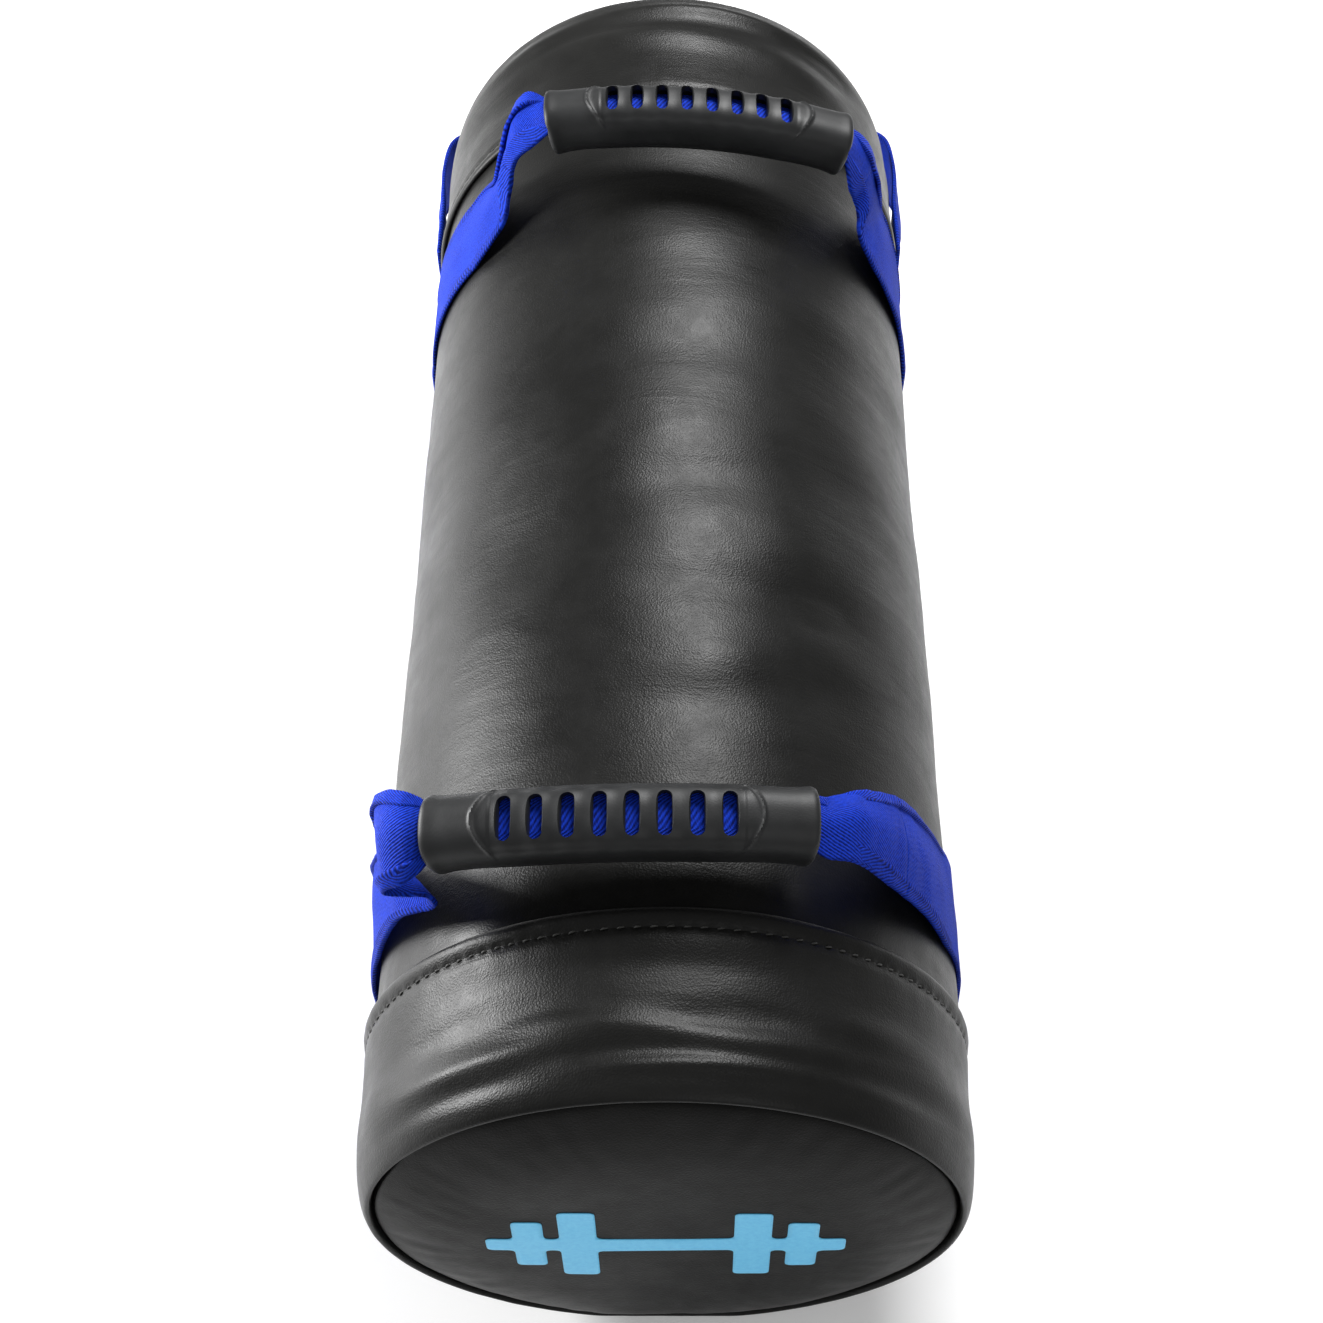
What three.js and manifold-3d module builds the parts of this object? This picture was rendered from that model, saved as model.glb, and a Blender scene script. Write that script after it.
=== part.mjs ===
// Weighted training bag: a sand-filled cylinder of coated fabric that lies on its side. Two webbing
// girths carry a moulded grip each over the top of the bag, and a third webbing loop with a grip
// reaches behind its far end.
// Millimetres. +Y runs along the bag from the marked near end to the far end, +X is right, +Z is up,
// z = 0 is the floor, and the origin is the middle of the part's underside.
import * as THREE from "three";
import { mergeVertices } from "three/addons/utils/BufferGeometryUtils.js";
import Module from "manifold-3d";

const wasm = await Module();
wasm.setup();

// Bag. Lengths along it are counted from the near panel seam.
const BAG_LENGTH = 511;
const BODY_R = 100;
const BODY_UNDER_CAP_R = 98.9;
const CAP_R = 100.7;
const HEM_R = 102.2;
const SEAM_R = 95;
const SKIN = 1.4;
const GAP = 0.3;
const NEAR_CAP = 61.4;
const FAR_CAP = 72;
const HEM_FOLD = 6.4;
const PANEL_CROWN = 6;
const SEGMENTS = 40;
const SAG = 4.2; // how far the loaded bag flattens on the floor, at its outermost layer

// Filling
const LINER_OUT_R = 97.1;
const LINER_IN_R = 88;
const POUCH_R = 87.6;
const POUCH_SKIN = 0.8;
const LINER_START = 12.5;

// Webbing
const WEBBING = 40;
const WEBBING_THICK = 1.6;
const FOLDED_WIDTH = 18; // the webbing is folded lengthwise inside a grip
const FOLDED_THICK = 4.6;
const NEAR_GIRTH_Y = 105;
const FAR_GIRTH_Y = 400;
const GIRTH_END = 85; // degrees from the top at which the sewn girth ends and the loose loop begins
const GIRTH_R = BODY_R + GAP + WEBBING_THICK / 2;

// Grips and the loops that carry them
const GRIP_LENGTH = 117;
const GRIP_WIDTH = 23;
const GRIP_HEIGHT = 22;
const GRIP_ARCH_R = 214;
const CORE_RISE = 4; // the webbing runs this far outside the grip's middle line
const CORE_CLEARANCE = 0.8;
const SLOTS = 8;
const SLOT_PITCH = 9.3;
const SLOT_WIDTH = 4.2;
const SLOT_LENGTH = 13.5;
const GRIP_SHIFT = 13; // along the webbing from the middle of the loop to the grip's stop
const CORE_HALF = GRIP_LENGTH / 2 + GRIP_SHIFT + 1;
const FOOT_HALF = 3;

const TOP_LOOP = { reach: 112, footX: 101.5, bulgeX: 102.5, bulgeH: 34, shoulderX: 100, shoulderH: 76 };
const END_LOOP = { reach: 85, footX: 102.2, bulgeX: 106.5, bulgeH: 36, shoulderX: 112, shoulderH: 62 };
const TOP_HINGE_Z = 11; // above the bag's own axis
const NEAR_TILT = 13; // degrees that the near loop leans towards the near end
const END_HINGE_Y = BAG_LENGTH - 48.5;
const END_HINGE_Z = -12;
const END_TAB_R = 101.9;

// Stitching
const HEM_THREAD_WIDTH = 0.8;
const HEM_THREAD_HEIGHT = 0.7;
const BOX_STITCH_WIDTH = 32;
const BOX_STITCH_ARC = 20; // degrees round the girth
const BOX_STITCH_THREAD = 1;
const BOX_STITCH_HEIGHT = 0.7;

// Mark printed on the near panel: a plain barbell, as [half length, half height] steps
const MARK_THICK = 0.4;
const MARK_STEPS = [[22, 5], [22, 27], [34, 27], [34, 5], [39, 5], [39, 19], [49, 19], [49, 5], [58, 5]];

const FLOOR_DROP = HEM_R - SAG;
const FRONT_Y = -(PANEL_CROWN + GAP + MARK_THICK);
const BACK_Y = END_HINGE_Y + END_LOOP.reach + GRIP_HEIGHT / 2;

const rad = THREE.MathUtils.degToRad;
const lerp = THREE.MathUtils.lerp;

const COLOURS = {
  skin: [0x1d1e1f, 0.5],
  foam: [0xc9cdd0, 0.9],
  nylon: [0x8b8f94, 0.7],
  sand: [0xb59a6a, 0.95],
  thread: [0x141414, 0.8],
  webbing: [0x1226c4, 0.75],
  webbingThread: [0x1a2fd0, 0.8],
  grip: [0x18191b, 0.45],
  print: [0x5cc8f2, 0.5],
};

function part(name, geometry, finish) {
  const [color, roughness] = COLOURS[finish];
  const mesh = new THREE.Mesh(geometry, new THREE.MeshStandardMaterial({ color, roughness, metalness: 0 }));
  mesh.name = name;
  return mesh;
}

// The bag's weight presses each layer flat where it meets the floor, most at the outside.
function flattened(geometry) {
  const position = geometry.getAttribute("position");
  for (let i = 0; i < position.count; i += 1) {
    const radius = Math.hypot(position.getX(i), position.getZ(i));
    const lowest = SAG * (radius / HEM_R) ** 4 - radius;
    position.setZ(i, Math.max(position.getZ(i), lowest));
  }
  return geometry;
}

// Turns a profile of [radius, y] points about the bag's axis. A ring's profile closes on itself.
function turned(points, isRing = true) {
  const profile = (isRing ? [...points, points[0]] : points).map(([r, y]) => new THREE.Vector2(r, y));
  return flattened(new THREE.LatheGeometry(profile, SEGMENTS));
}

const atFarEnd = (points) => points.map(([r, y]) => [r, BAG_LENGTH - y]).reverse();

// A strip lofted through stations of {centre, side, normal, halfWidth, halfThick}, closed at both ends.
function strip(stations) {
  const corners = [[1, 1], [-1, 1], [-1, -1], [1, -1]];
  const points = stations.flatMap((s) =>
    corners.map(([w, t]) =>
      s.centre
        .clone()
        .addScaledVector(s.side, w * s.halfWidth)
        .addScaledVector(s.normal, t * s.halfThick),
    ),
  );
  const faces = [];
  for (let i = 0; i + 1 < stations.length; i += 1) {
    for (let k = 0; k < 4; k += 1) {
      const [a, b] = [4 * i + k, 4 * i + ((k + 1) % 4)];
      faces.push(a, b, b + 4, a, b + 4, a + 4);
    }
  }
  const last = 4 * (stations.length - 1);
  faces.push(0, 2, 1, 0, 3, 2);
  faces.push(last, last + 1, last + 2, last, last + 2, last + 3);
  const geometry = new THREE.BufferGeometry().setFromPoints(points);
  geometry.setIndex(faces);
  return geometry;
}

// A strip that lies round the bag between two angles, counted from the top towards +X.
function wrapped(fromDegrees, toDegrees, radius, y, halfWidth, halfThick) {
  const step = 360 / SEGMENTS;
  const angles = [fromDegrees];
  for (let a = Math.ceil((fromDegrees + 1) / step) * step; a < toDegrees - 1; a += step) {
    angles.push(a);
  }
  angles.push(toDegrees);
  const stations = angles.map((a) => {
    const normal = new THREE.Vector3(Math.sin(rad(a)), 0, Math.cos(rad(a)));
    const centre = normal.clone().multiplyScalar(radius).setY(y);
    return { centre, side: new THREE.Vector3(0, 1, 0), normal, halfWidth, halfThick };
  });
  return strip(stations);
}

function toSolid(geometry) {
  const bare = geometry.clone();
  bare.deleteAttribute("normal");
  bare.deleteAttribute("uv");
  const merged = mergeVertices(bare, 1e-3);
  return new wasm.Manifold(
    new wasm.Mesh({
      numProp: 3,
      vertProperties: merged.getAttribute("position").array,
      triVerts: new Uint32Array(merged.index.array),
    }),
  );
}

function toGeometry(solid) {
  const { vertProperties, triVerts } = solid.getMesh();
  const geometry = new THREE.BufferGeometry();
  geometry.setAttribute("position", new THREE.BufferAttribute(vertProperties, 3));
  geometry.setIndex(new THREE.BufferAttribute(triVerts, 1));
  return geometry;
}

// End cap sleeve: sewn over the body, with a folded hem, and turned in at the panel seam.
function capSleeve(width) {
  const hem = width - HEM_FOLD;
  return [
    [CAP_R - 0.4, width],
    [CAP_R - 0.4, hem + 1],
    [CAP_R - SKIN, hem - 5],
    [CAP_R - SKIN, 12],
    [97.9, 6],
    [96.6, 2.4],
    [SEAM_R, 2.8],
    [SEAM_R, 9],
    [SEAM_R - SKIN, 9],
    [SEAM_R - SKIN, 1.6],
    [SEAM_R + 0.8, 0],
    [98.6, 1.4],
    [100.3, 6],
    [CAP_R, 13],
    [CAP_R, hem - 4],
    [CAP_R - 0.2, hem],
    [HEM_R, hem + 2.4],
    [HEM_R, width - 1],
  ];
}

// End panel: a disc with a flat middle and a rounded border, turned in at the seam.
function endPanel() {
  const rim = SEAM_R - SKIN - 0.4;
  return [
    [0, SKIN - PANEL_CROWN],
    [65, SKIN - PANEL_CROWN],
    [82, 0.2],
    [rim - SKIN, 3.4],
    [rim - SKIN, 9],
    [rim, 9],
    [rim, 1.6],
    [83.5, -2],
    [66, -PANEL_CROWN],
    [0, -PANEL_CROWN],
  ].reverse();
}

const endFoam = () => [
  [0, SKIN + GAP - PANEL_CROWN],
  [64.6, SKIN + GAP - PANEL_CROWN],
  [81.6, 0.6],
  [91.2, 4],
  [91.2, LINER_START - 0.5],
  [0, LINER_START - 0.5],
];

function bodySleeve() {
  const [near, far] = [NEAR_CAP - HEM_FOLD, BAG_LENGTH - FAR_CAP + HEM_FOLD];
  return [
    [BODY_UNDER_CAP_R, LINER_START],
    [BODY_UNDER_CAP_R, near - 5],
    [BODY_R, near + 1],
    [BODY_R, far - 1],
    [BODY_UNDER_CAP_R, far + 5],
    [BODY_UNDER_CAP_R, BAG_LENGTH - LINER_START],
    [BODY_UNDER_CAP_R - SKIN, BAG_LENGTH - LINER_START],
    [BODY_UNDER_CAP_R - SKIN, LINER_START],
  ];
}

const box = (inR, outR, from, to) => [[inR, from], [outR, from], [outR, to], [inR, to]];

// Lock stitching that shows as one raised thread round the hem.
function hemThread(y) {
  const low = CAP_R - 0.2 + GAP;
  const half = HEM_THREAD_WIDTH / 2;
  return turned(box(low, low + HEM_THREAD_HEIGHT, y - half, y + half));
}

function bag() {
  const group = new THREE.Group();
  const [near, far] = [LINER_START, BAG_LENGTH - LINER_START];
  const pouchWall = POUCH_R - POUCH_SKIN;
  const pouch = [
    [0, near],
    [POUCH_R, near],
    [POUCH_R, far],
    [pouchWall, far],
    [pouchWall, near + POUCH_SKIN],
    [0, near + POUCH_SKIN],
  ];
  const inPouch = pouchWall - GAP;
  group.add(
    part("body_sleeve", turned(bodySleeve()), "skin"),
    part("near_cap_sleeve", turned(capSleeve(NEAR_CAP)), "skin"),
    part("far_cap_sleeve", turned(atFarEnd(capSleeve(FAR_CAP))), "skin"),
    part("near_end_panel", turned(endPanel(), false), "skin"),
    part("far_end_panel", turned(atFarEnd(endPanel()), false), "skin"),
    part("near_hem_thread", hemThread(NEAR_CAP - HEM_FOLD), "thread"),
    part("far_hem_thread", hemThread(BAG_LENGTH - FAR_CAP + HEM_FOLD), "thread"),
    part("foam_liner", turned(box(LINER_IN_R, LINER_OUT_R, near, far)), "foam"),
    part("near_end_foam", turned(endFoam(), false), "foam"),
    part("far_end_foam", turned(atFarEnd(endFoam()), false), "foam"),
    part("filler_pouch", turned(pouch, false), "nylon"),
    part("pouch_closing_disc", turned(box(0, inPouch, far - 1.5, far - 0.5), false), "nylon"),
    part("sand_filling", turned(box(0, inPouch, near + POUCH_SKIN + GAP, far - 2), false), "sand"),
  );
  return group;
}

// A barbell outline: half heights stepped along x, mirrored left and right and top and bottom.
function barbellMark() {
  const right = MARK_STEPS;
  const left = right.map(([x, h]) => [-x, h]).reverse();
  const top = [...left, ...right];
  const bottom = top.map(([x, h]) => [x, -h]).reverse();
  const outline = [...top, ...bottom].map(([x, z]) => new THREE.Vector2(x, z));
  const shape = new THREE.Shape(outline);
  const geometry = new THREE.ExtrudeGeometry(shape, { depth: MARK_THICK, bevelEnabled: false });
  geometry.rotateX(Math.PI / 2);
  geometry.translate(0, FRONT_Y + MARK_THICK, 0);
  return part("barbell_mark", geometry, "print");
}

// The fixed part of a girth: sewn round the underside from one side of the bag to the other.
function girth(name, y) {
  const group = new THREE.Group();
  const band = wrapped(GIRTH_END, 360 - GIRTH_END, GIRTH_R, y, WEBBING / 2, WEBBING_THICK / 2);
  group.add(part(`${name}_girth_webbing`, flattened(band), "webbing"));
  const threadR = GIRTH_R + WEBBING_THICK / 2 + GAP + BOX_STITCH_HEIGHT / 2;
  const halfWidth = BOX_STITCH_WIDTH / 2;
  const thread = THREE.MathUtils.radToDeg(BOX_STITCH_THREAD / threadR);
  const inset = GIRTH_END + 2;
  for (const [side, from] of [["right", inset], ["left", 360 - inset - BOX_STITCH_ARC]]) {
    const to = from + BOX_STITCH_ARC;
    const outer = wrapped(from, to, threadR, y, halfWidth, BOX_STITCH_HEIGHT / 2);
    const inner = wrapped(from + thread, to - thread, threadR, y, halfWidth - BOX_STITCH_THREAD, 2);
    const frame = toSolid(outer).subtract(toSolid(inner));
    group.add(part(`${name}_${side}_box_stitch`, toGeometry(frame), "webbingThread"));
  }
  return group;
}

// Middle line of a loose loop in its own plane, from the middle of the grip to the foot at the hinge.
function loopLine({ reach, footX, bulgeX, bulgeH, shoulderX, shoulderH }) {
  const radius = GRIP_ARCH_R + CORE_RISE;
  const sweep = CORE_HALF / radius;
  const arch = [0, 0.25, 0.5, 0.75, 1].map((t) => {
    const angle = t * sweep;
    const height = reach - GRIP_ARCH_R + radius * Math.cos(angle);
    return new THREE.Vector2(radius * Math.sin(angle), height);
  });
  const end = arch.at(-1);
  const heading = new THREE.Vector2(Math.cos(sweep), -Math.sin(sweep));
  const control = end.clone().addScaledVector(heading, 14);
  const corner = new THREE.CubicBezierCurve(
    end,
    control,
    new THREE.Vector2(shoulderX, shoulderH),
    new THREE.Vector2(bulgeX, bulgeH),
  );
  const leg = [
    new THREE.Vector2(lerp(footX, bulgeX, 0.6), 18),
    new THREE.Vector2(footX, 8),
    new THREE.Vector2(footX, 0),
  ];
  return [...arch, ...corner.getPoints(8).slice(1), ...leg];
}

// One loose webbing loop: folded narrow through the grip, flat and full width down the sides.
function loop(name, shape) {
  const half = loopLine(shape);
  const mirrored = half.slice(1).reverse().map((p) => new THREE.Vector2(-p.x, p.y));
  const line = [...mirrored, ...half];
  const stations = line.map((p, i) => {
    const before = line[Math.max(i - 1, 0)];
    const after = line[Math.min(i + 1, line.length - 1)];
    const along = after.clone().sub(before).normalize();
    const open = THREE.MathUtils.smoothstep(Math.abs(p.x), CORE_HALF, CORE_HALF + 16);
    const wide = lerp(FOLDED_WIDTH, WEBBING, open) / 2;
    return {
      centre: new THREE.Vector3(p.x, 0, p.y),
      side: new THREE.Vector3(0, 1, 0),
      normal: new THREE.Vector3(-along.y, 0, along.x),
      halfWidth: Math.min(wide, FOOT_HALF + 2.1 * p.y),
      halfThick: lerp(FOLDED_THICK, WEBBING_THICK, open) / 2,
    };
  });
  return part(name, strip(stations), "webbing");
}

// A straight piece along x, bent about y to the grip's arch, with its middle line at the reach.
function bent(geometry, reach) {
  const position = geometry.getAttribute("position");
  for (let i = 0; i < position.count; i += 1) {
    const angle = position.getX(i) / GRIP_ARCH_R;
    const radius = GRIP_ARCH_R + position.getZ(i);
    position.setX(i, radius * Math.sin(angle));
    position.setZ(i, reach - GRIP_ARCH_R + radius * Math.cos(angle));
  }
  return geometry;
}

// Moulded grip: an arched sleeve of rounded section, with a slot for the webbing and a row of openings.
function grip(name, reach) {
  const corner = 2.6;
  const rounded = (value) => Math.sign(value) * Math.abs(value) ** (2 / corner);
  const section = [];
  for (let a = 0; a < 360; a += 30) {
    const [c, s] = [rounded(Math.cos(rad(a + 15))), rounded(Math.sin(rad(a + 15)))];
    section.push(new THREE.Vector2((c * GRIP_WIDTH) / 2, (s * GRIP_HEIGHT) / 2));
  }
  const shape = new THREE.Shape(section);
  const boreWidth = FOLDED_WIDTH / 2 + CORE_CLEARANCE / 2;
  const [boreLow, boreHigh] = [-1, 1].map((s) => CORE_RISE + s * (FOLDED_THICK / 2 + CORE_CLEARANCE));
  const bore = [
    new THREE.Vector2(-boreWidth, boreLow),
    new THREE.Vector2(boreWidth, boreLow),
    new THREE.Vector2(boreWidth, boreHigh),
    new THREE.Vector2(-boreWidth, boreHigh),
  ];
  shape.holes.push(new THREE.Path(bore));
  const extrusion = { depth: GRIP_LENGTH, steps: 8, bevelEnabled: false };
  const geometry = new THREE.ExtrudeGeometry(shape, extrusion);
  geometry.translate(0, 0, -GRIP_LENGTH / 2);
  const [x, y, z] = [new THREE.Vector3(1, 0, 0), new THREE.Vector3(0, 1, 0), new THREE.Vector3(0, 0, 1)];
  geometry.applyMatrix4(new THREE.Matrix4().makeBasis(y, z, x));
  let solid = toSolid(bent(geometry, reach));
  for (let i = 0; i < SLOTS; i += 1) {
    const along = (i - (SLOTS - 1) / 2) * SLOT_PITCH;
    const cutter = new THREE.BoxGeometry(SLOT_WIDTH, SLOT_LENGTH, GRIP_HEIGHT);
    cutter.translate(along, 0, GRIP_HEIGHT / 2 + CORE_RISE);
    solid = solid.subtract(toSolid(bent(cutter, reach)));
  }
  return part(name, toGeometry(solid), "grip");
}

// A loop and its grip, in the loop's own plane: x across, z away from the hinge at the feet.
function handle(name, shape, shift) {
  const group = new THREE.Group();
  const sliding = new THREE.Group();
  const archCentre = new THREE.Vector3(0, 0, shape.reach - GRIP_ARCH_R);
  const gripPart = grip(`${name}_grip`, shape.reach);
  gripPart.position.copy(archCentre).negate();
  sliding.add(gripPart);
  sliding.position.copy(archCentre);
  sliding.rotation.y = shift / GRIP_ARCH_R;
  group.add(loop(`${name}_loop_webbing`, shape), sliding);
  return group;
}

// The end loop's fixed ends, sewn flat on the far cap sleeve.
function endTabs() {
  const group = new THREE.Group();
  const from = BAG_LENGTH - FAR_CAP + HEM_FOLD + 2;
  const [middle, half] = [(from + END_HINGE_Y - 1) / 2, (END_HINGE_Y - 1 - from) / 2];
  const lean = THREE.MathUtils.radToDeg(Math.asin(-END_HINGE_Z / END_TAB_R));
  const spread = THREE.MathUtils.radToDeg(WEBBING / 2 / END_TAB_R);
  for (const [side, angle] of [["right", 90 + lean], ["left", 270 - lean]]) {
    const tab = wrapped(angle - spread, angle + spread, END_TAB_R, middle, half, WEBBING_THICK / 2);
    group.add(part(`end_${side}_webbing_tab`, tab, "webbing"));
  }
  return group;
}

const nearHandle = handle("near", TOP_LOOP, -GRIP_SHIFT);
nearHandle.position.set(0, NEAR_GIRTH_Y, TOP_HINGE_Z);
nearHandle.rotation.x = rad(NEAR_TILT);

const farHandle = handle("far", TOP_LOOP, GRIP_SHIFT);
farHandle.position.set(0, FAR_GIRTH_Y, TOP_HINGE_Z);

const endHandle = handle("end", END_LOOP, 0);
endHandle.position.set(0, END_HINGE_Y, END_HINGE_Z);
endHandle.rotation.x = rad(-90);

const trainingBag = new THREE.Group();
trainingBag.add(
  bag(),
  barbellMark(),
  girth("near", NEAR_GIRTH_Y),
  girth("far", FAR_GIRTH_Y),
  endTabs(),
  nearHandle,
  farHandle,
  endHandle,
);
trainingBag.position.set(0, -(FRONT_Y + BACK_Y) / 2, FLOOR_DROP);

export default trainingBag;
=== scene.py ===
"""Looks for the weighted training bag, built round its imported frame.

Shapes are written in the bag's own frame: millimetres, x to the right, y from the near panel seam
towards the far end, z up from the bag's axis. to_row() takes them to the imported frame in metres.
"""

import math

import bmesh
import bpy
import numpy as np
from mathutils import Matrix, Vector, noise
from mathutils.geometry import delaunay_2d_cdt


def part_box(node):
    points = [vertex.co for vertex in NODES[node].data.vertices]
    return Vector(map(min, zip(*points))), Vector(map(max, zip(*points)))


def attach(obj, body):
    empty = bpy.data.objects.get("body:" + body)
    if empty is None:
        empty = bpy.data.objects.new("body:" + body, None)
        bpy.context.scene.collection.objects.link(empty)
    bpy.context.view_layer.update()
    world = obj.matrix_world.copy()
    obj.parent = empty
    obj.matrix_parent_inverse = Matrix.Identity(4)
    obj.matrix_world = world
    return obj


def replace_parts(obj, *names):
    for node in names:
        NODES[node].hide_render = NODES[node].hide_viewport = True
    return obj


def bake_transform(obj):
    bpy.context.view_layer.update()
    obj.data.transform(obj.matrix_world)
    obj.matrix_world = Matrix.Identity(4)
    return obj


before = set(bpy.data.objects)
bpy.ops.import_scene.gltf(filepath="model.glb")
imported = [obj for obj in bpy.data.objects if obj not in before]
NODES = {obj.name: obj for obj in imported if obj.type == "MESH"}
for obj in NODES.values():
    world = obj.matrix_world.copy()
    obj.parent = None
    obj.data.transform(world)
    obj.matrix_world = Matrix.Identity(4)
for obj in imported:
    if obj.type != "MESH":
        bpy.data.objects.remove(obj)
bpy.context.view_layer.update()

HEM_R = 102.2
BODY_R = 100.0
PANEL_CROWN = 6.0
SAG = 4.2
LENGTH = 511.0
AXIS_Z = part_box("near_cap_sleeve")[1].z - HEM_R / 1000
NEAR_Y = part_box("near_end_panel")[0].y + PANEL_CROWN / 1000
NEAR_HEM, NEAR_STITCH = 61.4, 55.0
FAR_HEM, FAR_STITCH = 439.0, 445.4
SKIN_THICK = 1.3
STITCHES = 126
# Loops: hinge lines along the bag, and how far the middle of each arch stands from its hinge line.
NEAR_LOOP_Y, FAR_LOOP_Y = 105, 400
CARRY_REACH, END_REACH = 112, 85
FAR_YAW = -3
# The arch a grip follows, and how far its bore lies outside that arch.
ARCH_R = 214.0
CORE_RISE = 4.0


def to_row(points):
    return np.asarray(points, float) / 1000 + np.array([0, NEAR_Y, AXIS_Z])


# ---------------------------------------------------------------- meshes


def new_object(name, verts, faces, uvs=None, material=None):
    """A smooth mesh from bag-frame points. uvs holds one (u, v) for each face corner, in millimetres."""
    mesh = bpy.data.meshes.new(name)
    mesh.from_pydata(to_row(verts).tolist(), [], faces)
    if uvs is not None:
        layer = mesh.uv_layers.new(name="UVMap")
        layer.data.foreach_set("uv", (np.asarray(uvs, float) / 1000).ravel())
    mesh.polygons.foreach_set("use_smooth", [True] * len(mesh.polygons))
    mesh.update()
    obj = bpy.data.objects.new(name, mesh)
    bpy.context.scene.collection.objects.link(obj)
    if material is not None:
        mesh.materials.append(material)
    return obj


def grid_faces(rows, cols, closed_cols=False):
    faces = []
    for i in range(rows - 1):
        for j in range(cols if closed_cols else cols - 1):
            a, b = i * cols + j, i * cols + (j + 1) % cols
            c, d = (i + 1) * cols + (j + 1) % cols, (i + 1) * cols + j
            faces.append((a, b, c, d))
    return faces


def grid_uvs(u, v, rows, cols, closed_cols=False):
    """u runs over columns and v over rows. Where the columns close, u holds one value more."""
    out = []
    for i in range(rows - 1):
        for j in range(cols if closed_cols else cols - 1):
            out += [(u[j], v[i]), (u[j + 1], v[i]), (u[j + 1], v[i + 1]), (u[j], v[i + 1])]
    return out


def thicken(obj, thickness, offset=-1.0):
    mod = obj.modifiers.new("skin", "SOLIDIFY")
    mod.thickness = thickness / 1000
    mod.offset = offset
    mod.use_even_offset = False
    return obj


def face_outwards(obj):
    bm = bmesh.new()
    bm.from_mesh(obj.data)
    bmesh.ops.recalc_face_normals(bm, faces=bm.faces)
    bm.to_mesh(obj.data)
    bm.free()


def apply_modifiers(obj):
    depsgraph = bpy.context.evaluated_depsgraph_get()
    mesh = bpy.data.meshes.new_from_object(obj.evaluated_get(depsgraph), depsgraph=depsgraph)
    obj.modifiers.clear()
    obj.data = mesh
    return obj


def spline(points, steps):
    """Catmull-Rom through points, with steps samples for each span."""
    p = np.asarray(points, float)
    q = np.concatenate([[2 * p[0] - p[1]], p, [2 * p[-1] - p[-2]]])
    out = []
    for i in range(1, len(q) - 2):
        a, b, c, d = q[i - 1], q[i], q[i + 1], q[i + 2]
        for t in np.arange(steps) / steps:
            out.append(
                0.5
                * (
                    2 * b
                    + (c - a) * t
                    + (2 * a - 5 * b + 4 * c - d) * t * t
                    + (3 * b - a - 3 * c + d) * t**3
                )
            )
    out.append(p[-1])
    return np.array(out)


def lumps(x, y, z, seed):
    """Smooth noise from -1 to 1 at arrays of points."""
    flat = np.stack(np.broadcast_arrays(x, y, z), -1).reshape(-1, 3)
    values = [noise.noise(Vector((p[0] + seed, p[1] - seed, p[2] + 2 * seed))) for p in flat]
    return np.array(values).reshape(np.broadcast(x, y, z).shape)


# ---------------------------------------------------------------- the filled bag


def on_bag(theta, y, r):
    """Points at an angle from the top and a radius, pressed flat where the bag lies on the floor."""
    x, z = r * np.sin(theta), r * np.cos(theta)
    low = SAG * (r / HEM_R) ** 4 - r
    z = low + np.logaddexp(0, (z - low) / 0.35) * 0.35
    return np.stack(np.broadcast_arrays(x, y, z), -1)


def bumps_at(theta, y, features):
    """Sum of soft features: (degrees, y, height, degrees long, mm wide, slope in mm a degree)."""
    deg = np.degrees(np.arctan2(np.sin(theta), np.cos(theta)))
    total = 0
    for at, y0, height, long, wide, slope in features:
        along = (deg - at) / long
        across = (y - y0 - slope * (deg - at)) / wide
        total = total + height * np.exp(-(along**2) - across**2)
    return total


def fabric_relief(theta, y, seed):
    """Slow unevenness of the filling and finer ripples that run round the bag."""
    cx, cz = np.sin(theta), np.cos(theta)
    slow = lumps(cx * 1.5, y / 75, cz * 1.5, seed)
    ripple = lumps(cx * 2.6, y / 17, cz * 2.6, seed + 7)
    fine = lumps(cx * 5.0, y / 8, cz * 5.0, seed + 19)
    return slow, ripple, fine


def turned(name, theta, profile, relief, material, thickness=None):
    """A ring or a disc turned from (radius, y) points with a relief added along its outward normal."""
    r = np.array([p[0] for p in profile])[:, None]
    y = np.array([p[1] for p in profile])[:, None]
    th = theta[None, :]
    step = np.gradient(np.array(profile), axis=0)
    length = np.hypot(step[:, 0], step[:, 1])
    nr, ny = (step[:, 1] / length)[:, None], (-step[:, 0] / length)[:, None]
    d = relief(th, r, y)
    points = on_bag(th, y + ny * d, r + nr * d)
    rows, cols = points.shape[:2]
    u = np.append(theta, theta[0] + 2 * math.pi) * 100
    v = np.concatenate([[0], np.cumsum(np.hypot(*np.diff(np.array(profile), axis=0).T))])
    faces = grid_faces(rows, cols, closed_cols=True)
    uvs = grid_uvs(u, v, rows, cols, closed_cols=True)
    obj = new_object(name, points.reshape(-1, 3), faces, uvs, material)
    if thickness:
        thicken(obj, thickness)
    return obj


def round_angles(count):
    return np.arange(count) / count * 2 * math.pi


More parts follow.
